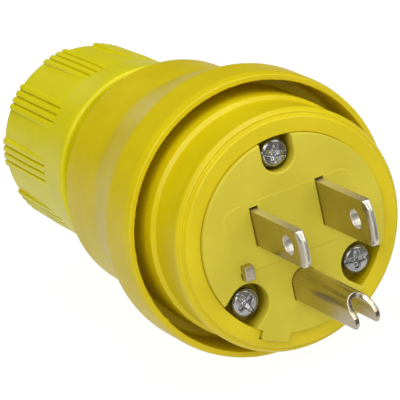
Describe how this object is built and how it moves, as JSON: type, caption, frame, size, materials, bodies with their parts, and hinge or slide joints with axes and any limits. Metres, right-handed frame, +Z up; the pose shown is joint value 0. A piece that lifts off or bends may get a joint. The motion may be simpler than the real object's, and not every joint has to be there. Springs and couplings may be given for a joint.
{
  "type": "shore power cord plug",
  "caption": "Watertight straight-blade plug for a shore power cord, with a sealing rubber boot, screw terminals, an inner cord clamp and a turning compression nut.",
  "frame": {"origin": "centre of the flat insulating face that the blades stand on", "axes": "-Y is the way the blades point, +Y is the way the cord leaves, +Z is up with the ground pin below"},
  "size_m": [0.0494, 0.1023, 0.0494],
  "materials": {
    "boot_rubber": "satin moulded elastomer",
    "nut_nylon": "semi-gloss moulded nylon",
    "face_nylon": "fine matte moulded nylon",
    "sleeve_nylon": "moulded nylon",
    "block_nylon": "natural moulded nylon",
    "washer_nylon": "natural acetal",
    "seal_rubber": "black rubber",
    "plated_brass": "bright nickel plate",
    "insert_brass": "bare brass",
    "zinc_steel": "bright zinc plate",
    "green_steel": "green dyed zinc"
  },
  "bodies": {
    "plug": {"outer_boot": "boot_rubber", "front_face": "face_nylon", "terminal_block": "block_nylon", "wire_guide": "block_nylon", "inner_sleeve": "sleeve_nylon", "threaded_inserts": "insert_brass", "blade_hot": "plated_brass", "blade_neutral": "plated_brass", "ground_pin": "plated_brass", "index_stub": "plated_brass", "face_seal_ring": "seal_rubber", "rear_seal_ring": "seal_rubber", "cord_clamp_lower": "block_nylon", "cord_grommet": "seal_rubber", "assembly_screw_top": "zinc_steel", "assembly_screw_left": "zinc_steel", "assembly_screw_right": "zinc_steel"},
    "washer": {"slip_washer": "washer_nylon"},
    "nut": {"compression_nut": "nut_nylon"},
    "clamp_jaw": {"cord_clamp_upper": "block_nylon"},
    "clamp_screw_left": {"cord_clamp_screw_left": "zinc_steel"},
    "clamp_screw_right": {"cord_clamp_screw_right": "zinc_steel"},
    "plate_hot": {"terminal_plate_hot": "insert_brass"},
    "screw_hot": {"terminal_screw_hot": "insert_brass"},
    "plate_neutral": {"terminal_plate_neutral": "zinc_steel"},
    "screw_neutral": {"terminal_screw_neutral": "zinc_steel"},
    "plate_ground": {"terminal_plate_ground": "zinc_steel"},
    "screw_ground": {"terminal_screw_ground": "green_steel"}
  },
  "joints": [
    {"name": "nut_travel", "type": "slide", "parent": "plug", "child": "washer", "axis": [0, 1, 0], "range_m": [0, 0.00901]},
    {"name": "nut_turn", "type": "hinge", "parent": "washer", "child": "nut", "pos_m": [0, 0.067, 0], "axis": [0, 1, 0], "range_deg": [0, 1080]},
    {"name": "terminal_travel_hot", "type": "slide", "parent": "plug", "child": "plate_hot", "axis": [-1, 0, 0], "range_m": [0, 0.0015]},
    {"name": "terminal_turn_hot", "type": "hinge", "parent": "plate_hot", "child": "screw_hot", "pos_m": [-0.00711, 0.022, 0.0035], "axis": [-1, 0, 0], "range_deg": [0, 676]},
    {"name": "terminal_travel_neutral", "type": "slide", "parent": "plug", "child": "plate_neutral", "axis": [1, 0, 0], "range_m": [0, 0.0015]},
    {"name": "terminal_turn_neutral", "type": "hinge", "parent": "plate_neutral", "child": "screw_neutral", "pos_m": [0.00711, 0.022, 0.0035], "axis": [1, 0, 0], "range_deg": [0, 676]},
    {"name": "terminal_travel_ground", "type": "slide", "parent": "plug", "child": "plate_ground", "axis": [0, 0, -1], "range_m": [0, 0.0015]},
    {"name": "terminal_turn_ground", "type": "hinge", "parent": "plate_ground", "child": "screw_ground", "pos_m": [0, 0.022, -0.00761], "axis": [0, 0, -1], "range_deg": [0, 676]},
    {"name": "clamp_travel", "type": "slide", "parent": "plug", "child": "clamp_jaw", "axis": [0, 0, 1], "range_m": [-0.0012, 0.0016]},
    {"name": "clamp_turn_left", "type": "hinge", "parent": "clamp_jaw", "child": "clamp_screw_left", "pos_m": [-0.0091, 0.039, 0], "axis": [0, 0, 1], "range_deg": [-618.1, 823.9]},
    {"name": "clamp_turn_right", "type": "hinge", "parent": "clamp_jaw", "child": "clamp_screw_right", "pos_m": [0.0091, 0.039, 0], "axis": [0, 0, 1], "range_deg": [-618.1, 823.9]}
  ],
  "couplings": [
    {"joint": "nut_travel", "follows": "nut_turn", "m_per_rad": 0.00047746},
    {"joint": "terminal_turn_hot", "follows": "terminal_travel_hot", "rad_per_m": 7854},
    {"joint": "terminal_turn_neutral", "follows": "terminal_travel_neutral", "rad_per_m": 7854},
    {"joint": "terminal_turn_ground", "follows": "terminal_travel_ground", "rad_per_m": 7854},
    {"joint": "clamp_turn_left", "follows": "clamp_travel", "rad_per_m": 8976},
    {"joint": "clamp_turn_right", "follows": "clamp_travel", "rad_per_m": 8976}
  ]
}
